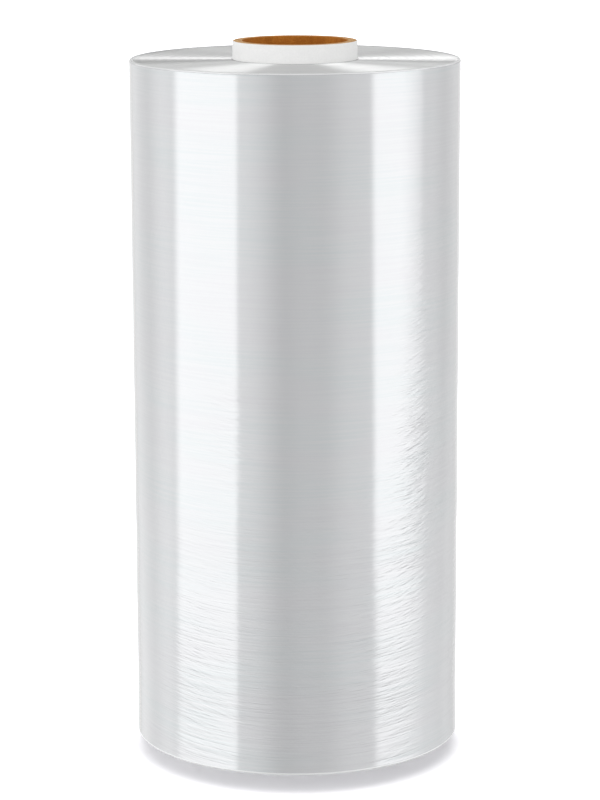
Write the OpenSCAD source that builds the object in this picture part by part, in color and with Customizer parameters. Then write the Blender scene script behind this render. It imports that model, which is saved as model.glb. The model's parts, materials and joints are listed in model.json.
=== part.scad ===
// Machine roll of clear stretch film, standing on the end of its paperboard core.
// The film is wound tight on the core. Its turns run as one spiral, from the core
// out to the free edge of the last turn, which lies down the back of the roll.

/* [Film] */
// Width of the film, which is the height of the wound body over its rims
film_w = 508; // [250:5:750]
// Diameter over the outermost turn
roll_d = 242; // [160:1:300]

/* [End faces] */
// Radial distance from one winding mark of the spiral to the next
mark_pitch = 6.5; // [4:0.5:12]
// Width of a winding mark at the end face
mark_w = 1.3; // [0.8:0.1:2]
// Depth of a winding mark
mark_depth = 0.45; // [0.2:0.05:0.8]
// Plain ring between the core and the first winding mark
inner_land = 3; // [1.5:0.5:8]
// Plain ring, at the least, between the last winding mark and the rim
outer_land = 1.5; // [1:0.5:6]

/* [Rim] */
// Radius of the rounded rim that the outermost turns make
rim_r = 1.5; // [1:0.1:3]
// Height of the rim over the end face
rim_rise = 0.4; // [0.1:0.05:0.8]

/* [Side] */
// Height of one lane of slack or tight film on the side
lane_h = 35; // [12:1:60]
// Depth of the slackest lane, which lies near the foot
lane_depth = 0.45; // [0.1:0.05:1]
// Share of that depth that is left in the lanes near the top
lane_top_share = 0.25; // [0.1:0.05:1]

/* [Free edge] */
// Thickness of the gathered free edge of the last turn
tail_step = 0.3; // [0.1:0.05:1]

/* [Core] */
// Bore of the core, which takes the mandrel of a wrapping machine
core_bore_d = 76.2; // [50:0.1:80]
// Wall of the core
core_wall = 7.6; // [4:0.1:12]
// Thickness of the white ply around the core's brown board
outer_ply = 0.6; // [0.3:0.1:1.5]
// Length of core that stands out past each end of the film
core_out = 13; // [5:0.5:30]
// Radius of the rounded outer corner at each end of the core
core_round = 0.9; // [0.3:0.1:1.5]
// Chamfer at each mouth of the bore
bore_chamfer = 0.6; // [0.2:0.1:1.5]

/* [Hidden] */
$fn = 56;
// Facets of the small round sections, the rim and the core's corners
small_fn = 16;

roll_r = roll_d / 2;
bore_r = core_bore_d / 2;
core_r = bore_r + core_wall;
core_l = film_w + 2 * core_out;
board_r = core_r - outer_ply;

// The first turn grips the core, so the film's bore is the core's outside
film_z0 = core_out;
film_z1 = core_out + film_w;
face_z0 = film_z0 + rim_rise;
face_z1 = film_z1 - rim_rise;

// A half turn on each of two centres makes a spiral, which steps out once a turn
mark_shift = mark_pitch / 2;
tail_shift = tail_step / 2;

// The rim reaches this far in from the side, where it meets the end face
rim_reach = rim_r + sqrt(pow(rim_r, 2) - pow(rim_r - rim_rise, 2));
first_mark = core_r + inner_land + mark_w / 2;
last_mark = roll_r - rim_reach - outer_land - mark_w / 2;
turns = floor((last_mark - first_mark) / mark_pitch);

// Lanes of equal height between the two rims, whose depths follow no regular beat
side_z0 = film_z0 + rim_r;
side_z1 = film_z1 - rim_r;
lanes = round((side_z1 - side_z0) / lane_h);
lane_beat = 137.5;

// A lane's edge as a share of the side's height, and how far it lies under the side
function lane_share(i) = i / lanes;
function lane_fade(i) = 1 - (1 - lane_top_share) * lane_share(i);
function lane_dip(i) = lane_depth * lane_fade(i) * (1 - cos(i * lane_beat)) / 2;
function lane_edge(i) = i == 0 || i == lanes ? 0 : lane_dip(i);
function lane_point(i, out) = [
    roll_r + out - lane_edge(i),
    side_z0 + lane_share(i) * (side_z1 - side_z0)
];

// Section of the wound body, from within the core's wall to the side, moved out by a shift
module body_section(out) {
    rim_x = roll_r - rim_r + out;
    polygon(concat(
        [[bore_r, face_z0], [rim_x, face_z0], [rim_x, side_z0]],
        [for (i = [0 : lanes]) lane_point(i, out)],
        [[rim_x, side_z1], [rim_x, face_z1], [bore_r, face_z1]]
    ));
    for (z = [side_z0, side_z1])
        translate([rim_x, z])
            circle(r = rim_r, $fn = small_fn);
}

// Section of one winding mark, a notch into an end face that looks up or down
module mark_notch(r, z, up) {
    translate([r, z])
        polygon([[0, -up * mark_depth], [mark_w, up * mark_depth], [-mark_w, up * mark_depth]]);
}

// Sections of all the winding marks in both end faces, moved out by a shift
module mark_section(out) {
    for (k = [0 : turns - 1]) {
        r = first_mark + k * mark_pitch + out;
        mark_notch(r, face_z1, 1);
        mark_notch(r, face_z0, -1);
    }
}

// Half a turn on the roll's own axis, on the side of +X
module inner_half() {
    rotate([0, 0, -90])
        rotate_extrude(angle = 180)
            children();
}

// Half a turn on an axis that lies back by the shift, on the side of -X
module outer_half(shift) {
    translate([0, shift, 0])
        rotate([0, 0, 90])
            rotate_extrude(angle = 180)
                children();
}

module wound_film() {
    color([0.86, 0.88, 0.89])
        difference() {
            union() {
                inner_half() body_section(0);
                outer_half(tail_shift) body_section(tail_shift);
            }
            inner_half() mark_section(0);
            outer_half(mark_shift) mark_section(mark_shift);
            translate([0, 0, film_z0])
                cylinder(h = film_w, r = core_r);
        }
}

// Section of the brown board, chamfered at both mouths of the bore
module board_section() {
    polygon([
        [bore_r + bore_chamfer, 0],
        [board_r, 0],
        [board_r, core_l],
        [bore_r + bore_chamfer, core_l],
        [bore_r, core_l - bore_chamfer],
        [bore_r, bore_chamfer]
    ]);
}

// Section of the whole wall, with its two outer corners rounded
module wall_section() {
    round_x = core_r - core_round;
    translate([0, core_round])
        square([core_r, core_l - 2 * core_round]);
    square([round_x, core_l]);
    for (z = [core_round, core_l - core_round])
        translate([round_x, z])
            circle(r = core_round, $fn = small_fn);
}

module core_tube() {
    color([0.76, 0.56, 0.34])
        rotate_extrude()
            intersection() {
                board_section();
                wall_section();
            }
    color([0.93, 0.93, 0.92])
        rotate_extrude()
            difference() {
                wall_section();
                square([board_r, core_l]);
            }
}

wound_film();
core_tube();
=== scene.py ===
import json
import math

import bmesh
import bpy
from mathutils import Matrix, Vector, noise


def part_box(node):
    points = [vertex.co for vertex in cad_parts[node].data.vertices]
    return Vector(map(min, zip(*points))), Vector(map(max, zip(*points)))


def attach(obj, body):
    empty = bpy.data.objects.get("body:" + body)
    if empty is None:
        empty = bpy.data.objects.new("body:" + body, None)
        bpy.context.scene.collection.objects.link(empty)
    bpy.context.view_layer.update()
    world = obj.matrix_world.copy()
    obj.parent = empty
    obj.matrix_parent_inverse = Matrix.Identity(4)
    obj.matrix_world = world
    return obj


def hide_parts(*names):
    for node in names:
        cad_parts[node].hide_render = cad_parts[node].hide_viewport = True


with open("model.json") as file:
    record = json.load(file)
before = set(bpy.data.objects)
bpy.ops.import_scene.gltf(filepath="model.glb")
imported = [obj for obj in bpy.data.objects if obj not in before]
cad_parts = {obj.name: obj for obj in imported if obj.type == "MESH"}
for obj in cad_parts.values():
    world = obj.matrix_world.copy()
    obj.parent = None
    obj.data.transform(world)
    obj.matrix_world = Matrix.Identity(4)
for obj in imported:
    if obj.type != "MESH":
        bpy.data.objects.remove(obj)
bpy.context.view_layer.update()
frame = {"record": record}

# Sizes, in metres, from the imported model
MM = 0.001
film_low, film_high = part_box("wound_film")
core_low, core_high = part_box("core_tube")
bore = next(m for m in frame["record"]["mounts"] if m["name"] == "core_bore")
ROLL_R = film_high.x
TAIL_STEP = film_high.y - ROLL_R
FILM_Z0 = film_low.z
FILM_Z1 = film_high.z
FILM_W = FILM_Z1 - FILM_Z0
CORE_R = core_high.x
CORE_Z0 = core_low.z
CORE_Z1 = core_high.z
BORE_R = bore["dims"]["r_mm"] * MM

# Points nearer than this count as the same place
HAIR = 0.01 * MM

# Form of the winding, as on the solid
RIM_R = 1.5 * MM
RIM_RISE = 0.4 * MM
MARK_PITCH = 6.5 * MM
MARK_W = 1.3 * MM
FIRST_MARK = CORE_R + 3 * MM + MARK_W / 2
MARKS = 10
LANE_H = 35 * MM
LANE_DEPTH = 0.45 * MM
LANE_TOP_SHARE = 0.25
LANE_BEAT = 137.5

# Relief of the end faces: the spiral mark, fine bands of turns and broad hollows
MARK_DEPTH = 0.25 * MM
BAND_DEPTH = 0.03 * MM
BAND_W = 1.1 * MM
BAND_SEED = 7
HOLLOW_DEPTH = 0.06 * MM
HOLLOW_W = 60 * MM
HOLLOW_SEED = 3
FACE_FADE = 1.5 * MM

# How finely the film is modelled
COLUMNS = 144
SIDE_ROWS = 504
SIDE_ROWS_AT_ONCE = 84
END_RINGS = 72
RIM_STEPS = 4
SMOOTH_ANGLE = math.radians(50)


def select_none():
    """Deselects every object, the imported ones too."""
    if bpy.context.object and bpy.context.object.mode != "OBJECT":
        bpy.ops.object.mode_set(mode="OBJECT")
    bpy.ops.object.select_all(action="DESELECT")


def make_active(piece):
    select_none()
    piece.select_set(True)
    bpy.context.view_layer.objects.active = piece


def pick(piece, edges=None, faces=None):
    """In edit mode, selects only the edges or faces that a test is true of."""
    bpy.ops.mesh.select_all(action="DESELECT")
    mesh = bmesh.from_edit_mesh(piece.data)
    for kind, test in ((mesh.edges, edges), (mesh.faces, faces)):
        if test:
            for part in kind:
                if test(part):
                    part.select_set(True)
    bmesh.update_edit_mesh(piece.data)


def draw_section(name, points):
    """One vertex drawn out, point by point, into a closed section in the plane of X and Z."""
    select_none()
    bpy.ops.mesh.primitive_plane_add(size=MM, location=points[0])
    piece = bpy.context.object
    piece.name = name
    bpy.ops.object.mode_set(mode="EDIT")
    bpy.ops.mesh.select_mode(type="VERT")
    bpy.ops.mesh.select_all(action="SELECT")
    bpy.ops.mesh.merge(type="CENTER")
    for start, end in zip(points, points[1:] + points[:1]):
        step = Vector(end) - Vector(start)
        bpy.ops.mesh.extrude_vertices_move(TRANSFORM_OT_translate={"value": step})
    bpy.ops.mesh.select_all(action="SELECT")
    bpy.ops.mesh.remove_doubles(threshold=HAIR)
    bpy.ops.object.mode_set(mode="OBJECT")
    bpy.ops.object.transform_apply(location=True, rotation=True, scale=True)
    return piece


def divide(piece, test, count):
    """Divides each edge of the section that the test picks into a count of equal lengths."""
    bpy.ops.object.mode_set(mode="EDIT")
    bpy.ops.mesh.select_mode(type="EDGE")
    pick(piece, edges=test)
    bpy.ops.mesh.subdivide(number_cuts=count - 1)
    bpy.ops.object.mode_set(mode="OBJECT")


def spin_section(piece, columns):
    """Turns the section once round the roll's axis and closes it."""
    bpy.ops.object.mode_set(mode="EDIT")
    bpy.ops.mesh.select_mode(type="VERT")
    bpy.ops.mesh.select_all(action="SELECT")
    bpy.ops.mesh.spin(steps=columns, angle=math.tau, center=(0, 0, 0), axis=(0, 0, 1))
    bpy.ops.mesh.select_all(action="SELECT")
    bpy.ops.mesh.remove_doubles(threshold=HAIR)
    bpy.ops.mesh.normals_make_consistent(inside=False)
    bpy.ops.object.mode_set(mode="OBJECT")


def both(edge, test):
    """True if the test is true of both ends of an edge."""
    return all(test(v.co) for v in edge.verts)


def level_with(z):
    """A test for points at a height."""
    return lambda point: abs(point.z - z) < HAIR


def off_axis(point):
    """Distance of a point from the roll's axis."""
    return math.hypot(point.x, point.y)


def arc(centre_x, centre_z, radius, start, end, steps):
    """Points along an arc in the plane of X and Z, from one angle to another, in degrees."""
    turn = [math.radians(start + (end - start) * i / steps) for i in range(steps + 1)]
    return [(centre_x + radius * math.cos(a), 0, centre_z + radius * math.sin(a)) for a in turn]


def push(piece, name, weight, strength, direction):
    """Moves vertices by a weight from 0 to 1, a function of their place, times a strength."""
    group = piece.vertex_groups.new(name=name)
    for vertex in piece.data.vertices:
        share = weight(vertex.co)
        if share > 0:
            group.add([vertex.index], min(share, 1), "REPLACE")
    make_active(piece)
    move = piece.modifiers.new(name, "DISPLACE")
    move.direction = direction
    move.mid_level = 0
    move.strength = strength
    move.vertex_group = group.name
    bpy.ops.object.modifier_apply(modifier=move.name)
    piece.vertex_groups.remove(piece.vertex_groups[name])


# Wound film: heights of the end faces and of the side between the rounds of the rims
FACE_Z0 = FILM_Z0 + RIM_RISE
FACE_Z1 = FILM_Z1 - RIM_RISE
SIDE_Z0 = FILM_Z0 + RIM_R
SIDE_Z1 = FILM_Z1 - RIM_R

# A rim's round, and the radius at which an end face meets it
RIM_X = ROLL_R - RIM_R
RIM_HALF = math.sqrt(RIM_R**2 - (RIM_R - RIM_RISE)**2)
RIM_FOOT = math.degrees(math.atan2(RIM_R - RIM_RISE, -RIM_HALF))
FACE_EDGE = RIM_X - RIM_HALF


def film_section():
    """The section of the wound body, with a proud, rounded rim at each end."""
    lower = arc(RIM_X, SIDE_Z0, RIM_R, -RIM_FOOT, 0, 2 * RIM_STEPS)
    upper = arc(RIM_X, SIDE_Z1, RIM_R, 0, RIM_FOOT, 2 * RIM_STEPS)
    return [(CORE_R, 0, FACE_Z0)] + lower + upper + [(CORE_R, 0, FACE_Z1)]


def turn_out(point):
    """How far the spiral has stepped out here, as a share of its pitch, from 0 to 1 in one turn."""
    if point.x > 0:
        return 0
    return (1 + point.y / off_axis(point)) / 2


def smooth(share):
    """Eases a share in and out, and holds it between 0 and 1."""
    share = min(max(share, 0), 1)
    return share * share * (3 - 2 * share)


def turn_edges(point):
    """Relief of the turns' edges in an end face, in metres below its plane."""
    radius = off_axis(point)
    along = radius - MARK_PITCH * turn_out(point)
    place = (along - FIRST_MARK) / MARK_PITCH
    nearest = min(max(round(place), 0), MARKS - 1)
    away = abs(place - nearest) * MARK_PITCH
    mark = MARK_DEPTH * (1 - smooth(away / MARK_W))
    bands = BAND_DEPTH * (1 + noise.noise(Vector((along / BAND_W, BAND_SEED, 0))))
    hollows = HOLLOW_DEPTH * (1 + noise.noise(Vector((point.x, point.y, HOLLOW_SEED)) / HOLLOW_W))
    inner = smooth((radius - CORE_R) / FACE_FADE)
    outer = smooth((FACE_EDGE - radius) / FACE_FADE)
    return inner * outer * (mark + bands + hollows)


def lane_edge(i, lanes):
    """Depth of the side where one lane meets the next."""
    if i in (0, lanes):
        return 0
    fade = 1 - (1 - LANE_TOP_SHARE) * i / lanes
    return LANE_DEPTH * fade * (1 - math.cos(math.radians(i * LANE_BEAT))) / 2


def lane_dip(point):
    """Depth of the slack and tight lanes on the side, deepest near the foot."""
    lanes = round((SIDE_Z1 - SIDE_Z0) / LANE_H)
    place = min(max((point.z - SIDE_Z0) / (SIDE_Z1 - SIDE_Z0) * lanes, 0), lanes)
    low = min(int(place), lanes - 1)
    start = lane_edge(low, lanes)
    return start + (lane_edge(low + 1, lanes) - start) * smooth(place - low)


# Creases of the side: length round the roll, height, seed, and sag at the front and back
BROAD_FORM = (60 * MM, 6.5 * MM, 0, 0.08)
NARROW_FORM = (48 * MM, 4.8 * MM, 31, 0.14)
LOOSE_FORM = (30 * MM, 6.4 * MM, 71, 0.18)

# Depths of the creases in millimetres, and the share of them at the top and what the foot adds to it
BROAD_DEPTH = 0.08
NARROW_DEPTH = 0.055
LOOSE_DEPTH = 0.25
CREASE_TOP_SHARE = 0.2
CREASE_FOOT_GAIN = 0.6

# How steep the creases are, and how near the rims they fade out
CREASE_SHARPNESS = 4
CREASE_FADE = 3 * MM

# Patches in which the creases are deeper: size and seed
BROAD_PATCH = (60 * MM, 5)
NARROW_PATCH = (45 * MM, 9)
PATCH_CONTRAST = 1.7


def crease(point, form):
    """Long thin creases: 1 on a crease and 0 midway between two."""
    along, across, seed, sag = form
    height = point.z - sag * point.x**2 / ROLL_R
    value = noise.noise(Vector((point.x / along + seed, point.y / along, height / across)))
    return 1 - min(abs(value) * CREASE_SHARPNESS, 1)


def patch(point, form):
    """Broad patches, from 0 to 1."""
    size, seed = form
    place = Vector((point.x, point.y, point.z * 2)) / size + Vector((seed, 0, 0))
    return smooth(0.5 + PATCH_CONTRAST * noise.noise(place))


# Places where the film is slack: azimuth from the front, height, reach round the roll, and strength
SLACK = (
    (47, 195 * MM, 46 * MM, 0.9),
    (50, 262 * MM, 42 * MM, 0.55),
    (45, 325 * MM, 40 * MM, 0.55),
    (54, 400 * MM, 40 * MM, 0.55),
    (20, 150 * MM, 44 * MM, 0.25),
    (-23, 265 * MM, 24 * MM, 0.4),
    (-34, 80 * MM, 46 * MM, 0.25),
    (33, 70 * MM, 46 * MM, 0.3),
    (78, 110 * MM, 44 * MM, 0.45),
    (80, 300 * MM, 44 * MM, 0.3),
    (112, 170 * MM, 44 * MM, 0.8),
    (171, 120 * MM, 50 * MM, 0.9),
    (-128, 200 * MM, 48 * MM, 0.8),
)

# A slack place is this much narrower than it is tall
SLACK_TALL = 0.32


def slack_middle(azimuth, height):
    angle = math.radians(azimuth)
    return Vector((ROLL_R * math.sin(angle), -ROLL_R * math.cos(angle), height * SLACK_TALL))


def slackness(point):
    """How slack the film is at a point, from 0 up."""
    place = Vector((point.x, point.y, point.z * SLACK_TALL))
    total = 0
    for azimuth, height, reach, strength in SLACK:
        total += strength * smooth(1 - (place - slack_middle(azimuth, height)).length / reach)
    return total


def wrinkles(point):
    """Depth, in metres, of the creases round the roll, slight at the top and strong at the foot."""
    height = (point.z - FILM_Z0) / FILM_W
    strength = CREASE_TOP_SHARE + CREASE_FOOT_GAIN * smooth(1.05 - height * 1.2)
    broad = BROAD_DEPTH * crease(point, BROAD_FORM)**2 * (0.4 + 0.6 * patch(point, BROAD_PATCH))
    narrow = NARROW_DEPTH * crease(point, NARROW_FORM)**2 * (0.3 + 0.7 * patch(point, NARROW_PATCH))
    loose = LOOSE_DEPTH * crease(point, LOOSE_FORM) * slackness(point)
    ends = smooth((point.z - SIDE_Z0) / CREASE_FADE) * smooth((SIDE_Z1 - point.z) / CREASE_FADE)
    return MM * ends * ((broad + narrow) * strength + loose)


def on_side(point):
    return off_axis(point) > ROLL_R - 0.2 * MM


def in_end_face(point):
    return CORE_R + 0.1 * MM < off_axis(point) < FACE_EDGE - HAIR


def on_long_side(edge):
    return both(edge, on_side) and edge.calc_length() > 10 * MM


def beside_free_edge(face):
    middle = face.calc_center_median()
    return middle.y > 0 and abs(middle.x) < 8 * MM


def upper_relief(point):
    """Relief of the upper end face, in millimetres."""
    return turn_edges(point) / MM if point.z > FACE_Z1 - MM and in_end_face(point) else 0


def lower_relief(point):
    """Relief of the lower end face, in millimetres."""
    return turn_edges(point) / MM if point.z < FACE_Z0 + MM and in_end_face(point) else 0


def side_relief(point):
    """Relief of the side, in millimetres."""
    return (wrinkles(point) + lane_dip(point)) / MM if on_side(point) else 0


def last_turn(point):
    """How far the last turn has stepped out, as a share of the step at its free edge."""
    return turn_out(point) if point.x < HAIR and off_axis(point) > FACE_EDGE else 0


def make_film():
    film = draw_section("film_turns", film_section())
    for face_z in (FACE_Z0, FACE_Z1):
        divide(film, lambda e: both(e, level_with(face_z)) and both(e, lambda p: p.x < RIM_X), END_RINGS)

    # An edge takes at most a hundred cuts at once, so the side is divided twice
    divide(film, on_long_side, SIDE_ROWS // SIDE_ROWS_AT_ONCE)
    divide(film, on_long_side, SIDE_ROWS_AT_ONCE)
    spin_section(film, COLUMNS)

    # The free edge of the last turn needs a pair of close columns at the back
    bpy.ops.object.mode_set(mode="EDIT")
    pick(film, faces=beside_free_edge)
    bpy.ops.mesh.bisect(plane_co=(TAIL_STEP, 0, 0), plane_no=(1, 0, 0))
    bpy.ops.object.mode_set(mode="OBJECT")

    push(film, "upper_edges", upper_relief, -MM, "Z")
    push(film, "lower_edges", lower_relief, MM, "Z")
    push(film, "wrinkles", side_relief, -MM, "NORMAL")
    push(film, "last_turn", last_turn, TAIL_STEP, "NORMAL")
    bpy.ops.object.shade_smooth_by_angle(angle=SMOOTH_ANGLE)
    return film


# Sockets of a Mix node that mixes colours
MIX_FIRST = 6
MIX_SECOND = 7
MIX_RESULT = 2


def add_node(tree, kind, inputs=None, **settings):
    """Adds a node, and gives each of its named inputs a value or a link."""
    made = tree.nodes.new("ShaderNode" + kind)
    for name, value in settings.items():
        setattr(made, name, value)
    for name, value in (inputs or {}).items():
        if isinstance(value, bpy.types.NodeSocket):
            tree.links.new(value, made.inputs[name])
        else:
            made.inputs[name].default_value = value
    return made


def math_node(tree, operation, first, second=0.0):
    return add_node(tree, "Math", {0: first, 1: second}, operation=operation).outputs[0]


def add(tree, first, *others):
    """The sum of two or more values."""
    for other in others:
        first = math_node(tree, "ADD", first, other)
    return first


def times(tree, first, *others):
    """The product of two or more values."""
    for other in others:
        first = math_node(tree, "MULTIPLY", first, other)
    return first


def ramp(tree, value, low, high, to_low=0.0, to_high=1.0, way="SMOOTHSTEP"):
    """Turns a value between two limits into one between two others."""
    inputs = {"Value": value, "From Min": low, "From Max": high, "To Min": to_low, "To Max": to_high}
    return add_node(tree, "MapRange", inputs, interpolation_type=way).outputs[0]


def blend_colour(tree, share, first, second):
    """One colour where the share is 0 and the other where it is 1."""
    mixer = add_node(tree, "Mix", {0: share}, data_type="RGBA")
    for socket, colour in ((mixer.inputs[MIX_FIRST], first), (mixer.inputs[MIX_SECOND], second)):
        if isinstance(colour, bpy.types.NodeSocket):
            tree.links.new(colour, socket)
        else:
            socket.default_value = (*colour, 1)
    return mixer.outputs[MIX_RESULT]


def new_material(name, constants):
    """A material with one Principled shader, some of whose sockets are set once."""
    material = bpy.data.materials.new(name)
    material.use_nodes = True
    tree = material.node_tree
    surface = tree.nodes["Principled BSDF"]
    for socket, value in constants.items():
        surface.inputs[socket].default_value = value
    return material, tree, surface


def add_bump(tree, surface, height, invert=False):
    """Gives the surface a relief of a height in metres, or of a depth where it is inverted."""
    inputs = {"Height": height, "Distance": 1.0, "Strength": 1.0}
    bump = add_node(tree, "Bump", inputs, invert=invert)
    tree.links.new(bump.outputs[0], surface.inputs["Normal"])


def new_group(name, inputs, outputs):
    """A node group whose inputs are vectors, where their value is None, or numbers."""
    group = bpy.data.node_groups.new(name, "ShaderNodeTree")
    for label, value in inputs.items():
        kind = "NodeSocketVector" if value is None else "NodeSocketFloat"
        socket = group.interface.new_socket(label, in_out="INPUT", socket_type=kind)
        if value is not None:
            socket.default_value = value
    for label in outputs:
        group.interface.new_socket(label, in_out="OUTPUT", socket_type="NodeSocketFloat")
    entry = group.nodes.new("NodeGroupInput")
    exit_node = group.nodes.new("NodeGroupOutput")
    return group, entry.outputs, exit_node.inputs


def make_streaks():
    """Long thin streaks: the vector's first two parts run along them and the third across."""
    inputs = {"Vector": None, "Length": 0.03, "Width": 0.002, "Seed": 0.0}
    group, given, put_out = new_group("round_streaks", inputs, ("Soft", "Crease"))
    sizes = add_node(group, "CombineXYZ", {0: given["Length"], 1: given["Length"], 2: given["Width"]})
    scaled = add_node(group, "VectorMath", {0: given["Vector"], 1: sizes.outputs[0]}, operation="DIVIDE")
    apart = add_node(group, "CombineXYZ", {0: given["Seed"], 1: given["Seed"], 2: given["Seed"]})
    placed = add_node(group, "VectorMath", {0: scaled.outputs[0], 1: apart.outputs[0]}, operation="ADD")
    noise_inputs = {"Vector": placed.outputs[0], "Scale": 1.0, "Detail": 1.0, "Roughness": 0.5}
    grain = add_node(group, "TexNoise", noise_inputs).outputs["Fac"]
    away = math_node(group, "ABSOLUTE", math_node(group, "SUBTRACT", grain, 0.5))
    line = ramp(group, away, 0.0, 0.11, 1.0, 0.0, "LINEAR")
    group.links.new(grain, put_out["Soft"])
    group.links.new(line, put_out["Crease"])
    return group


STREAKS = make_streaks()


def streaks(tree, vector, length, width, seed):
    made = add_node(tree, "Group", node_tree=STREAKS)
    tree.links.new(vector, made.inputs["Vector"])
    for label, value in (("Length", length), ("Width", width), ("Seed", seed)):
        made.inputs[label].default_value = value
    return made.outputs


def object_place(tree):
    """The place on the piece and its three parts."""
    place = add_node(tree, "TexCoord").outputs["Object"]
    return place, add_node(tree, "SeparateXYZ", {0: place}).outputs


def radius_of(tree, place):
    """The distance of a place from the roll's axis."""
    flat = add_node(tree, "VectorMath", {0: place, 1: (1, 1, 0)}, operation="MULTIPLY")
    return add_node(tree, "VectorMath", {0: flat.outputs[0]}, operation="LENGTH").outputs["Value"]


def ring_place(tree, parts, radius):
    """The place on the piece, with the height replaced by the radius, for streaks that run in rings."""
    return add_node(tree, "CombineXYZ", {0: parts[0], 1: parts[1], 2: radius}).outputs[0]


def round_tangent(tree, surface):
    """Gives the gloss a grain that runs round the roll."""
    tangent = add_node(tree, "Tangent", direction_type="RADIAL", axis="Z")
    tree.links.new(tangent.outputs["Tangent"], surface.inputs["Tangent"])


def sagging(tree, parts, sag):
    """The place on the piece, with the height taken along a line that sags at the front and back."""
    dip = times(tree, parts[0], parts[0], sag / ROLL_R)
    height = math_node(tree, "SUBTRACT", parts[2], dip)
    return add_node(tree, "CombineXYZ", {0: parts[0], 1: parts[1], 2: height}).outputs[0]


def slack_mask(tree, place):
    """The slack places of the film, as on its mesh."""
    squat = add_node(tree, "VectorMath", {0: place, 1: (1, 1, SLACK_TALL)}, operation="MULTIPLY")
    total = 0.0
    for azimuth, height, reach, strength in SLACK:
        ends = {0: squat.outputs[0], 1: slack_middle(azimuth, height)}
        away = add_node(tree, "VectorMath", ends, operation="DISTANCE").outputs["Value"]
        total = add(tree, ramp(tree, away, reach, 0.0, 0.0, strength), total)
    return total


# Film side: its two broad tints, its haze, and a painted highlight on the rounds of the rims, with their
# heights
SIDE_GREY = (0.482, 0.483, 0.496)
SIDE_COOL = (0.466, 0.487, 0.496)
SIDE_HAZE = (0.494, 0.499, 0.508)
LIP_HIGHLIGHT_TONE = (0.78, 0.79, 0.79)
SIDE_ROUGH = (0.08, 0.12)
LIP_ROUGH = 0.3
LOW_LIP = (SIDE_Z0 + 0.8 * MM, SIDE_Z0 - 0.2 * MM)
HIGH_LIP = (SIDE_Z1 + 0.2 * MM, SIDE_Z1 + 0.9 * MM)

# Streaks of the side: length round the roll, width up it, and seed
HAZE = (60 * MM, 1.2 * MM, 23.0)
TINTS = (90 * MM, 28 * MM, 37.0)
PATCHES = (40 * MM, 22 * MM, 41.0)
LONG_CREASES = (90 * MM, 3.4 * MM, 3.0)
SHORT_CREASES = (36 * MM, 2.6 * MM, 11.0)
FRETTED_CREASES = (24 * MM, 2.6 * MM, 51.0)
LONG_SAG = 0.06
SHORT_SAG = 0.24
FRETTED_SAG = 0.38

# Values of the streaks between which a tone or a depth changes, and what the patches change it between
STREAK_SPREAD = (0.3, 0.7)
TINT_SPREAD = (0.38, 0.62)
PATCH_SPREAD = (0.4, 0.6, 0.3, 1.0)

# Creases too fine for the mesh: depths, strength high up and at the foot, where, and fade to the rims
LONG_DEPTH = 0.05 * MM
SHORT_DEPTH = 0.03 * MM
FRETTED_DEPTH = 0.42 * MM
GRAIN_DEPTH = 0.03 * MM
FINE_STRENGTH = (0.2, 0.85)
FINE_HEIGHTS = (FILM_Z0 + 0.75 * FILM_W, FILM_Z0 + 0.05 * FILM_W)
FINE_FADE = 4 * MM


def side_creases(tree, place, parts):
    """Depth of the fine creases of the side, in metres."""
    slack = slack_mask(tree, place)
    foot = ramp(tree, parts[2], *FINE_HEIGHTS, *FINE_STRENGTH)
    patches = ramp(tree, streaks(tree, place, *PATCHES)["Soft"], *PATCH_SPREAD)
    long = streaks(tree, sagging(tree, parts, LONG_SAG), *LONG_CREASES)["Crease"]
    short = streaks(tree, sagging(tree, parts, SHORT_SAG), *SHORT_CREASES)["Crease"]
    fretted = streaks(tree, sagging(tree, parts, FRETTED_SAG), *FRETTED_CREASES)["Soft"]
    short = times(tree, short, add(tree, patches, slack), SHORT_DEPTH)
    both_kinds = add(tree, times(tree, long, LONG_DEPTH), short)
    creases = times(tree, both_kinds, add(tree, foot, slack))
    return add(tree, creases, times(tree, fretted, slack, FRETTED_DEPTH))


def film_side_material():
    """Stretched film over thousands of turns: silvery, glossy and finely creased round the roll."""
    material, tree, surface = new_material("film_side", {"Metallic": 0.34, "IOR": 1.55})
    place, parts = object_place(tree)
    height = parts[2]

    haze = streaks(tree, place, *HAZE)["Soft"]
    broad = streaks(tree, place, *TINTS)["Soft"]
    tint = blend_colour(tree, ramp(tree, broad, *TINT_SPREAD), SIDE_GREY, SIDE_COOL)
    hazy = blend_colour(tree, ramp(tree, haze, *STREAK_SPREAD), tint, SIDE_HAZE)
    # Painted highlight: the rounds of the rims take a lighter tone than the side, and are also rougher
    highlit_lip = math_node(tree, "MAXIMUM", ramp(tree, height, *LOW_LIP), ramp(tree, height, *HIGH_LIP))
    tree.links.new(blend_colour(tree, highlit_lip, hazy, LIP_HIGHLIGHT_TONE), surface.inputs["Base Color"])

    rough = ramp(tree, haze, *STREAK_SPREAD, *SIDE_ROUGH)
    rough = add(tree, rough, times(tree, highlit_lip, LIP_ROUGH))
    tree.links.new(rough, surface.inputs["Roughness"])

    from_foot = math_node(tree, "SUBTRACT", height, SIDE_Z0)
    from_top = math_node(tree, "SUBTRACT", SIDE_Z1, height)
    inside = ramp(tree, math_node(tree, "MINIMUM", from_foot, from_top), 0.0, FINE_FADE)
    depth = add(tree, side_creases(tree, place, parts), times(tree, haze, GRAIN_DEPTH))
    add_bump(tree, surface, times(tree, depth, inside), invert=True)
    return material


# How far the edges of the turns lean out from the core, in degrees
EDGE_LEAN = 54

# Tones of the turns' edges: in fine rings, in broad ones, at the rim, and a painted shade beside the core
RING_DARK = (0.72, 0.725, 0.72)
RING_LIGHT = (0.80, 0.805, 0.80)
RING_BROAD = (0.76, 0.765, 0.765)
RIM_TONE = (0.72, 0.73, 0.73)
CORE_SHADE_TONE = (0.36, 0.36, 0.36)
EDGE_ROUGH = (0.32, 0.36)
RING_DEPTH = 0.012 * MM
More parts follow.
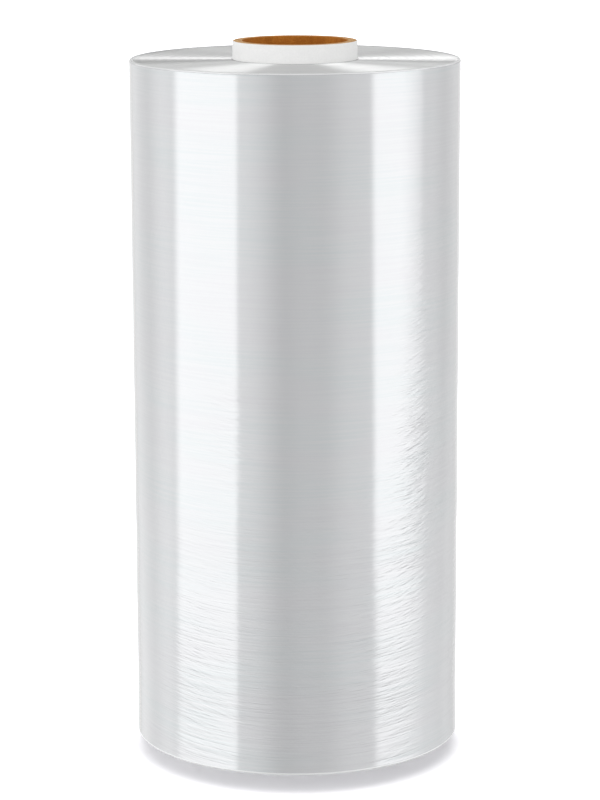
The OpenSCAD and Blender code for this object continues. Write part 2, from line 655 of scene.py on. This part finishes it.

# Rings of the end faces: length, width and seed, and the radii at which the rim and the painted shade
# beside the core come in
FINE_RINGS = (45 * MM, 0.5 * MM, 5.0)
BROAD_RINGS = (80 * MM, 2.4 * MM, 17.0)
BROAD_SPREAD = (0.35, 0.65)
RIM_FROM = (FACE_EDGE - 0.8 * MM, FACE_EDGE + 0.2 * MM)
CORE_SHADE_FROM = (CORE_R + 1.8 * MM, CORE_R + 0.4 * MM)


def film_edge_material():
    """The edges of the turns, seen end on: fine rings whose gloss fans out from the core."""
    constants = {"Metallic": 0.75, "Anisotropic": 1.0, "Anisotropic Rotation": 0.25}
    material, tree, surface = new_material("film_turn_edges", constants)
    place, parts = object_place(tree)
    radius = radius_of(tree, place)
    ringed = ring_place(tree, parts, radius)
    fine = streaks(tree, ringed, *FINE_RINGS)["Soft"]
    wide = streaks(tree, ringed, *BROAD_RINGS)["Soft"]
    tone = blend_colour(tree, ramp(tree, fine, *STREAK_SPREAD), RING_DARK, RING_LIGHT)
    tone = blend_colour(tree, ramp(tree, wide, *BROAD_SPREAD), tone, RING_BROAD)
    tone = blend_colour(tree, ramp(tree, radius, *RIM_FROM), tone, RIM_TONE)
    # Painted shade: the turns' edges darken within a couple of millimetres of the core
    tone = blend_colour(tree, ramp(tree, radius, *CORE_SHADE_FROM), tone, CORE_SHADE_TONE)
    tree.links.new(tone, surface.inputs["Base Color"])
    tree.links.new(ramp(tree, wide, *STREAK_SPREAD, *EDGE_ROUGH), surface.inputs["Roughness"])
    lean = times(tree, radius, -math.tan(math.radians(EDGE_LEAN)))
    add_bump(tree, surface, add(tree, lean, times(tree, fine, RING_DEPTH)))
    round_tangent(tree, surface)
    return material


def make_fibre():
    """Fibres and mottling of paper and board."""
    inputs = {"Vector": None, "Size": 0.0015, "Seed": 0.0}
    group, given, put_out = new_group("paper_fibre", inputs, ("Fibre", "Mottle"))
    sizes = add_node(group, "CombineXYZ", {0: given["Size"], 1: given["Size"], 2: given["Size"]})
    scaled = add_node(group, "VectorMath", {0: given["Vector"], 1: sizes.outputs[0]}, operation="DIVIDE")
    placed = add_node(group, "VectorMath", {0: scaled.outputs[0], 1: given["Seed"]}, operation="ADD")
    place = placed.outputs[0]
    fibre = add_node(group, "TexNoise", {"Vector": place, "Scale": 1.0, "Detail": 4.0, "Distortion": 1.5})
    mottle = add_node(group, "TexNoise", {"Vector": place, "Scale": 0.12, "Detail": 2.0})
    group.links.new(fibre.outputs["Fac"], put_out["Fibre"])
    group.links.new(mottle.outputs["Fac"], put_out["Mottle"])
    return group


FIBRE = make_fibre()


def fibres(tree, vector, size, seed):
    made = add_node(tree, "Group", node_tree=FIBRE)
    tree.links.new(vector, made.inputs["Vector"])
    made.inputs["Size"].default_value = size
    made.inputs["Seed"].default_value = seed
    return made.outputs


# Board: white outer ply and brown inner ply, each between a dark and a light tone
WHITE_PLY = ((0.86, 0.86, 0.855), (0.91, 0.91, 0.905))
BROWN_PLY = ((0.37, 0.12, 0.015), (0.52, 0.195, 0.029))
WHITE_ROUGH = 0.45
BROWN_ROUGH = 0.8
BOARD_GLOSS = 0.1
FIBRE_DEPTH = 0.025 * MM

# Size and seed of the fibres, and the values of them between which a tone changes
WHITE_FIBRES = (2 * MM, 1.0)
BROWN_FIBRES = (1.2 * MM, 1.0)
CUT_FIBRES = (0.6 * MM, 4.0)
FIBRE_SPREAD = (0.25, 0.75)
MOTTLE_SPREAD = (0.3, 0.75, 0.0, 0.5)
FUZZ_SPREAD = (0.3, 0.8, 0.0, 0.4)

# The spiral seam of the brown inner ply
SEAM_LEAD = 95 * MM
SEAM_DEPTH = 0.2 * MM
SEAM_HALF = 0.7 * MM
SEAM_START = 21 * MM
SEAM_SHADE = 0.6
SEAM_BLEND = 0.5

# Cut end of the board, with the white ply at its outside
CUT_DARK = (0.40, 0.19, 0.055)
CUT_LIGHT = (0.62, 0.36, 0.14)
CUT_FUZZ = (0.72, 0.50, 0.27)
CUT_WHITE = (0.90, 0.87, 0.80)
CUT_ROUGH = 0.85
CUT_GLOSS = 0.3
CUT_PLIES = (20 * MM, 0.7 * MM, 2.0)
CUT_PLY_DEPTH = 0.12 * MM
CUT_FIBRE_DEPTH = 0.05 * MM
OUTER_PLY = 0.6 * MM
OUTER_PLY_BLUR = 0.15 * MM


def spiral_seam(tree, parts):
    """A seam of the wound plies: 1 on a line that climbs by its lead in each turn."""
    turn = math_node(tree, "ARCTAN2", parts[1], parts[0])
    climb = times(tree, turn, SEAM_LEAD / math.tau)
    along = add(tree, math_node(tree, "SUBTRACT", parts[2], climb), SEAM_START)
    away = math_node(tree, "PINGPONG", along, SEAM_LEAD / 2)
    return ramp(tree, away, SEAM_HALF, 0.0)


def board_material(name, tones, grain, roughness, seamed=False):
    """Board or paper between two tones, with fibres and, where it is seamed, one spiral seam."""
    dark, light = tones
    constants = {"Roughness": roughness, "Specular IOR Level": BOARD_GLOSS}
    material, tree, surface = new_material(name, constants)
    place, parts = object_place(tree)
    paper = fibres(tree, place, *grain)
    tone = blend_colour(tree, ramp(tree, paper["Fibre"], *FIBRE_SPREAD), dark, light)
    tone = blend_colour(tree, ramp(tree, paper["Mottle"], *MOTTLE_SPREAD), tone, dark)
    height = times(tree, paper["Fibre"], FIBRE_DEPTH)
    if seamed:
        seam = spiral_seam(tree, parts)
        shade = tuple(SEAM_SHADE * part for part in dark)
        tone = blend_colour(tree, times(tree, seam, SEAM_BLEND), tone, shade)
        height = math_node(tree, "SUBTRACT", height, times(tree, seam, SEAM_DEPTH))
    tree.links.new(tone, surface.inputs["Base Color"])
    add_bump(tree, surface, height)
    return material


def cut_rim_material():
    """The cut end of the board: plies in rings of lighter and darker brown."""
    constants = {"Roughness": CUT_ROUGH, "Specular IOR Level": CUT_GLOSS}
    material, tree, surface = new_material("board_cut_end", constants)
    place, parts = object_place(tree)
    radius = radius_of(tree, place)
    plies = streaks(tree, ring_place(tree, parts, radius), *CUT_PLIES)["Soft"]
    paper = fibres(tree, place, *CUT_FIBRES)["Fibre"]
    tone = blend_colour(tree, ramp(tree, plies, *STREAK_SPREAD), CUT_DARK, CUT_LIGHT)
    tone = blend_colour(tree, ramp(tree, paper, *FUZZ_SPREAD), tone, CUT_FUZZ)
    seam_r = CORE_R - OUTER_PLY
    white = ramp(tree, radius, seam_r - OUTER_PLY_BLUR, seam_r + OUTER_PLY_BLUR)
    tree.links.new(blend_colour(tree, white, tone, CUT_WHITE), surface.inputs["Base Color"])
    height = add(tree, times(tree, plies, CUT_PLY_DEPTH), times(tree, paper, CUT_FIBRE_DEPTH))
    add_bump(tree, surface, height)
    return material


# Form of the core, as on the solid, and how finely it is modelled
CORE_ROUND = 0.9 * MM
BORE_CHAMFER = 0.6 * MM
PLIES = 8
RINGS_IN_PLY = 6
ROUND_STEPS = 4
CORE_COLUMNS = 144
CORE_ROWS = 60

# Glue lines between the plies, and the frayed board: depths in millimetres
GLUE_DEPTH = 0.12
GLUE_HALF = 0.22
GLUE_WANDER = 0.3
GLUE_WANDER_W = 25 * MM
GLUE_SEED = 40
FRAY_DEPTH = 0.05
FRAY_W = 3 * MM
FRAY_SEED = 9


def core_section():
    """The section of the core's wall, with rounded outer corners and chamfered mouths."""
    round_x = CORE_R - CORE_ROUND
    low = arc(round_x, CORE_Z0 + CORE_ROUND, CORE_ROUND, -90, 0, ROUND_STEPS)
    high = arc(round_x, CORE_Z1 - CORE_ROUND, CORE_ROUND, 0, 90, ROUND_STEPS)
    mouth_low = [(BORE_R, 0, CORE_Z0 + BORE_CHAMFER), (BORE_R + BORE_CHAMFER, 0, CORE_Z0)]
    mouth_high = [(BORE_R + BORE_CHAMFER, 0, CORE_Z1), (BORE_R, 0, CORE_Z1 - BORE_CHAMFER)]
    return mouth_low + low + high + mouth_high


def ply_grooves(point):
    """Depth, in millimetres, of the glue lines between the plies in a cut end."""
    wall = CORE_R - CORE_ROUND - (BORE_R + BORE_CHAMFER)
    radius = off_axis(point)
    place = (radius - BORE_R - BORE_CHAMFER) / wall * PLIES
    drift = noise.noise(Vector((point.x, point.y, GLUE_SEED + radius)) / GLUE_WANDER_W)
    wandered = place + GLUE_WANDER * drift
    line = 1 - smooth(abs(wandered - round(wandered)) / GLUE_HALF)
    frayed = 0.5 + 0.5 * noise.noise(Vector((point.x, point.y, FRAY_SEED)) / FRAY_W)
    return GLUE_DEPTH * line + FRAY_DEPTH * frayed if 0 < place < PLIES else 0


def across_cut_end(edge):
    """True for an edge that crosses the flat of either cut end."""
    in_end = both(edge, level_with(CORE_Z0)) or both(edge, level_with(CORE_Z1))
    return in_end and edge.calc_length() > 2 * MM


def along_core(edge):
    return edge.calc_length() > 100 * MM


def upper_plies(point):
    return ply_grooves(point) if point.z > CORE_Z1 - HAIR else 0


def lower_plies(point):
    return ply_grooves(point) if point.z < CORE_Z0 + HAIR else 0


def make_core():
    core = draw_section("core_tube_plies", core_section())
    divide(core, across_cut_end, RINGS_IN_PLY * PLIES)
    divide(core, along_core, CORE_ROWS)
    spin_section(core, CORE_COLUMNS)
    push(core, "upper_plies", upper_plies, -MM, "Z")
    push(core, "lower_plies", lower_plies, MM, "Z")
    bpy.ops.object.shade_smooth_by_angle(angle=SMOOTH_ANGLE)
    return core


def paint(piece, material, test):
    """Gives a material to the faces that the test of their middle picks."""
    piece.data.materials.append(material)
    piece.active_material_index = len(piece.data.materials) - 1
    make_active(piece)
    bpy.ops.object.mode_set(mode="EDIT")
    bpy.ops.mesh.select_mode(type="FACE")
    pick(piece, faces=lambda face: test(face.calc_center_median()))
    bpy.ops.object.material_slot_assign()
    bpy.ops.object.mode_set(mode="OBJECT")
    piece.active_material_index = 0


film = make_film()
paint(film, film_side_material(), lambda p: True)
paint(film, film_edge_material(), lambda p: off_axis(p) < FACE_EDGE)
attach(film, "root")
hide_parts("wound_film")

# Between these radii the core shows its cut board
BOARD_IN = BORE_R + 0.5 * BORE_CHAMFER
BOARD_OUT = CORE_R - 0.5 * MM

core = make_core()
white_ply = board_material("white_outer_ply", WHITE_PLY, WHITE_FIBRES, WHITE_ROUGH)
brown_ply = board_material("brown_inner_ply", BROWN_PLY, BROWN_FIBRES, BROWN_ROUGH, seamed=True)
paint(core, white_ply, lambda p: off_axis(p) > BOARD_OUT)
paint(core, brown_ply, lambda p: off_axis(p) < BOARD_IN)
paint(core, cut_rim_material(), lambda p: BOARD_IN <= off_axis(p) <= BOARD_OUT)
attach(core, "root")
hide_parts("core_tube")

# Camera, fitted to the outlines of the roll in the photograph
CAMERA_BACK = 2.132
CAMERA_HEIGHT = 0.711
CAMERA_PITCH = 11.79
CAMERA_YAW = -0.077
CAMERA_ROLL = -0.173
CAMERA_LENS = 131.1
CAMERA_SENSOR = 36
CAMERA_SEES = (0.05, 50)


def make_camera():
    select_none()
    bpy.ops.object.camera_add(location=(0, -CAMERA_BACK, CAMERA_HEIGHT))
    camera = bpy.context.object
    camera.name = "photo_view"
    yaw = Matrix.Rotation(math.radians(CAMERA_YAW), 4, "Z")
    pitch = Matrix.Rotation(math.radians(90 - CAMERA_PITCH), 4, "X")
    roll = Matrix.Rotation(math.radians(CAMERA_ROLL), 4, "Z")
    camera.matrix_world = Matrix.Translation(camera.location) @ yaw @ pitch @ roll
    camera.data.lens = CAMERA_LENS
    camera.data.sensor_width = CAMERA_SENSOR
    camera.data.clip_start, camera.data.clip_end = CAMERA_SEES
    bpy.context.scene.camera = camera


# Light of the sky that falls on matt surfaces: less from overhead and from the sides
WORLD_FILL = 1.58
ZENITH_SHARE = 0.6
FILL_DROP_RIGHT = 0.5
FILL_DROP_LEFT = 0.22

# Light of the sky that gloss sees, at the ground and behind the roll
GROUND_SHARE = 0.76
HALO_GROUND_SHARE = 0.3
BACK_SKY = 0.39
BACK_GROUND = 1.1
SIDE_HALO = (80, 15)
BACK_HALO = (48, 12)

# Upward parts of a direction between which each light changes, and the shares that the two dips change
FILL_FADE = (0.1, 0.8)
SKY_DIP = (0.0, 0.4, 1.0, 0.95)
ZENITH_DIP = (0.7, 0.95, 1.0, 0.85)
GROUND_FADE = (-0.75, -0.15)
BACK_FADE = (-0.1, 0.08)
LOW_FADE = (0.02, 0.2)
DEEP_FADE = (-0.32, -0.16)
HIGH_RISE = (0.02, 0.12)
HIGH_FADE = (0.7, 0.4)

# Glows that gloss sees: azimuth, reach, whole within, strength, and the part of the sky they lie in
HALOS = (
    (-66, 60, 22, 1.0, "low"),
    (-126, 34, 10, 0.42, "low"),
    (72, 56, 5, 0.78, "low"),
    (125, 30, 5, 0.28, "low"),
    (-122, 38, 8, 0.35, "deep"),
    (116, 34, 8, 0.4, "deep"),
    (20, 28, 6, 0.14, "low"),
    (40, 60, 10, 0.16, "deep"),
    (-145, 24, 5, 0.12, "high"),
    (145, 24, 5, 0.24, "high"),
)

# Lamps round the roll: azimuths between which each stands, and share of the glow
BOX_RADIUS = 1.5
LAMP_LOW = 0.1
LAMP_HIGH = 2.4
LAMP_GLOW = 0.3
SOFTBOXES = {
    "left_softbox": (-91, -36, 0.15),
    "right_softbox": (52, 106, 0.05),
}

# Cloths round the roll: azimuths, heights, glow, soft edges and slant, in degrees and metres.
# The soft edges are shares of the cloth at its left, right, lower and upper side
SLANT = 7.5
CLOTHS = {
    "left_cloth": (-93, -39, (-1.0, 0.7), 1.3, (0.16, 0.08, 0.44, 0.1), SLANT),
    "right_cloth": (51.5, 103, (-0.8, 0.7), 1.16, (0.13, 0.55, 0.46, 0.1), -SLANT),
    "right_cloth_edge": (51.5, 97, (-0.8, 0.7), 0.38, (0.13, 0.03, 0.46, 0.1), -SLANT),
    "left_upper_cloth": (-98, -40, (0.6, 3.2), 0.97, (0.05, 0.05, 0.1, 0.2), 0),
    "right_upper_cloth": (38, 104, (0.6, 3.2), 1.08, (0.4, 0.05, 0.1, 0.2), 0),
}

# The cloth behind the roll, which the upper end face reflects
BACK_CLOTH_PLACE = Vector((0.12, 2.5, 0))
BACK_CLOTH_W = 2.1
BACK_CLOTH_HEIGHTS = (0.45, 1.1)
BACK_CLOTH_GLOW = 1.35
BACK_CLOTH_EDGES = (0.52, 0.35, 0.05, 0.3)

# Floor: its colour in matt light and to the eye, and the radii between which a white glow for the eye comes
# in, a painted edge to the roll's real shadow
FLOOR_SIZE = 60
FLOOR_MATT = (0.72, 0.72, 0.72)
FLOOR_SEEN = (1.03, 1.02, 1.06)
FLOOR_WHITE_FROM = 0.111
FLOOR_WHITE_TO = 0.146


def seen_share(tree):
    """1 for rays that the camera, a gloss or a clear body sends out, and 0 for diffuse ones."""
    path = add_node(tree, "LightPath").outputs
    glossy = math_node(tree, "MAXIMUM", path["Is Camera Ray"], path["Is Glossy Ray"])
    return math_node(tree, "MAXIMUM", glossy, path["Is Transmission Ray"])


def level_direction(azimuth):
    """The level direction at an azimuth from the front, in degrees towards the right."""
    angle = math.radians(azimuth)
    return Vector((math.sin(angle), -math.cos(angle), 0))


def halo(tree, level, azimuth, reach, full, strength):
    """A broad glow of the sky round an azimuth, whole within one angle and gone past another."""
    ends = {0: level, 1: level_direction(azimuth)}
    near = add_node(tree, "VectorMath", ends, operation="DOT_PRODUCT").outputs["Value"]
    return ramp(tree, near, math.cos(math.radians(reach)), math.cos(math.radians(full)), 0.0, strength)


def gloss_light(tree, up, level):
    """The sky that gloss sees: a glow round each softbox, and less light overhead and behind."""
    sky = times(tree, ramp(tree, up, *SKY_DIP), ramp(tree, up, *ZENITH_DIP))
    ground = ramp(tree, up, *GROUND_FADE, GROUND_SHARE, 1.0)
    near_ground = ramp(tree, up, *GROUND_FADE, HALO_GROUND_SHARE, 1.0)
    low = times(tree, ramp(tree, up, *LOW_FADE, 1.0, 0.0), near_ground)
    deep = ramp(tree, up, *DEEP_FADE, 1.0, 0.0)
    high = times(tree, ramp(tree, up, *HIGH_RISE), ramp(tree, up, *HIGH_FADE))
    shares = {"low": low, "deep": deep, "high": high}

    behind = ramp(tree, up, *BACK_FADE, BACK_GROUND, BACK_SKY)
    glow = ramp(tree, halo(tree, level, 180, *BACK_HALO, 1.0), 0.0, 1.0, 1.0, behind)
    for azimuth, reach, full, strength, part in HALOS:
        near = halo(tree, level, azimuth, reach, full, strength)
        glow = add(tree, glow, times(tree, near, shares[part]))
    return times(tree, sky, ground, glow)


def matt_light(tree, up, level):
    """The sky that lights matt surfaces."""
    right_side = halo(tree, level, 95, *SIDE_HALO, FILL_DROP_RIGHT)
    left_side = halo(tree, level, -95, *SIDE_HALO, FILL_DROP_LEFT)
    fill = ramp(tree, up, *FILL_FADE, WORLD_FILL, WORLD_FILL * ZENITH_SHARE)
    return math_node(tree, "SUBTRACT", fill, add(tree, left_side, right_side))


def make_world():
    """A sky that is plain white to the eye."""
    world = bpy.data.worlds.new("white_studio")
    world.use_nodes = True
    bpy.context.scene.world = world
    tree = world.node_tree
    tree.nodes.clear()
    toward = add_node(tree, "TexCoord").outputs["Object"]
    up = add_node(tree, "SeparateXYZ", {0: toward}).outputs[2]
    flat = add_node(tree, "VectorMath", {0: toward, 1: (1, 1, 0)}, operation="MULTIPLY").outputs[0]
    level = add_node(tree, "VectorMath", {0: flat}, operation="NORMALIZE").outputs[0]

    path = add_node(tree, "LightPath").outputs
    gloss = gloss_light(tree, up, level)
    strength = ramp(tree, path["Is Glossy Ray"], 0.0, 1.0, matt_light(tree, up, level), gloss)
    strength = ramp(tree, path["Is Camera Ray"], 0.0, 1.0, strength, 1.0)
    strength = ramp(tree, path["Is Transmission Ray"], 0.0, 1.0, strength, 1.0)
    background = add_node(tree, "Background", {"Color": (1, 1, 1, 1), "Strength": strength})
    output = add_node(tree, "OutputWorld")
    tree.links.new(background.outputs[0], output.inputs["Surface"])


def box_place(azimuth_from, azimuth_to):
    """Where a sheet between two azimuths stands: its turn, its middle and its width."""
    middle = (azimuth_from + azimuth_to) / 2
    half = math.radians(abs(azimuth_to - azimuth_from) / 2)
    return math.radians(middle), level_direction(middle) * BOX_RADIUS, 2 * BOX_RADIUS * math.tan(half)


def softbox(name, azimuth_from, azimuth_to, share):
    """A tall lamp between two azimuths round the roll."""
    facing, place, width = box_place(azimuth_from, azimuth_to)
    place.z = (LAMP_LOW + LAMP_HIGH) / 2
    select_none()
    bpy.ops.object.light_add(type="AREA", location=place, rotation=(math.radians(90), 0, facing))
    lamp = bpy.context.object
    lamp.name = name
    lamp.data.shape = "RECTANGLE"
    lamp.data.size = width
    lamp.data.size_y = LAMP_HIGH - LAMP_LOW
    lamp.data.energy = share * LAMP_GLOW * math.pi * lamp.data.size * lamp.data.size_y
    lamp.visible_glossy = False
    lamp.visible_camera = False


def cloth_material(name, glow, soft_edges):
    """Light that fades towards the four sides of a sheet, and lets what lies behind through."""
    material = bpy.data.materials.new(name)
    material.use_nodes = True
    tree = material.node_tree
    tree.nodes.clear()
    across = add_node(tree, "SeparateXYZ", {0: add_node(tree, "TexCoord").outputs["UV"]}).outputs
    left, right, lower, upper = soft_edges
    for way, start, end in ((0, 0.0, left), (0, 1.0, 1.0 - right), (1, 0.0, lower), (1, 1.0, 1.0 - upper)):
        glow = times(tree, ramp(tree, across[way], start, end), glow)
    emission = add_node(tree, "Emission", {"Strength": glow})
    clear = add_node(tree, "BsdfTransparent")
    together = add_node(tree, "AddShader", {0: emission.outputs[0], 1: clear.outputs[0]})
    add_node(tree, "OutputMaterial", {"Surface": together.outputs[0]})
    material.cycles.emission_sampling = "NONE"
    return material


def cloth(name, place, facing, width, heights, glow, soft_edges, slant=0):
    """A bright cloth that only gloss sees, slanted in its own plane."""
    low, high = heights
    turn = (math.radians(90), math.radians(slant), facing)
    select_none()
    bpy.ops.mesh.primitive_plane_add(size=1, location=(place.x, place.y, (low + high) / 2), rotation=turn)
    sheet = bpy.context.object
    sheet.name = name
    sheet.scale = (width, high - low, 1)
    bpy.ops.object.transform_apply(location=True, rotation=True, scale=True)
    sheet.data.materials.append(cloth_material(name, glow, soft_edges))
    sheet.visible_camera = False
    sheet.visible_diffuse = False
    sheet.visible_shadow = False


def box_cloth(name, azimuth_from, azimuth_to, *looks):
    """A cloth that stands between two azimuths round the roll."""
    facing, place, width = box_place(azimuth_from, azimuth_to)
    cloth(name, place, facing, width, *looks)


def make_floor():
    """A pale floor that glows white to the eye past a ring round the roll: within the ring the roll's
    shadow is real, and its edge is painted.
    """
    select_none()
    bpy.ops.mesh.primitive_plane_add(size=FLOOR_SIZE, location=(0, 0, CORE_Z0))
    floor = bpy.context.object
    floor.name = "pale_floor"
    bpy.ops.object.transform_apply(location=True, rotation=True, scale=True)
    constants = {"Roughness": 1.0, "Specular IOR Level": 0.0, "Emission Color": (1, 1, 1, 1)}
    material, tree, surface = new_material("pale_floor", constants)
    radius = radius_of(tree, add_node(tree, "TexCoord").outputs["Object"])
    seen = seen_share(tree)
    tree.links.new(blend_colour(tree, seen, FLOOR_MATT, FLOOR_SEEN), surface.inputs["Base Color"])
    # Painted light: past these radii the floor glows white to the eye and hides the rest of the roll's real
    # shadow
    painted_white_glow = ramp(tree, radius, FLOOR_WHITE_FROM, FLOOR_WHITE_TO)
    tree.links.new(times(tree, painted_white_glow, seen), surface.inputs["Emission Strength"])
    floor.data.materials.append(material)
    floor.visible_glossy = False


make_camera()
make_world()
for name, looks in SOFTBOXES.items():
    softbox(name, *looks)
for name, looks in CLOTHS.items():
    box_cloth(name, *looks)
cloth("back_glow", BACK_CLOTH_PLACE, 0, BACK_CLOTH_W, BACK_CLOTH_HEIGHTS, BACK_CLOTH_GLOW, BACK_CLOTH_EDGES)
make_floor()

bpy.context.scene.view_settings.view_transform = "Standard"
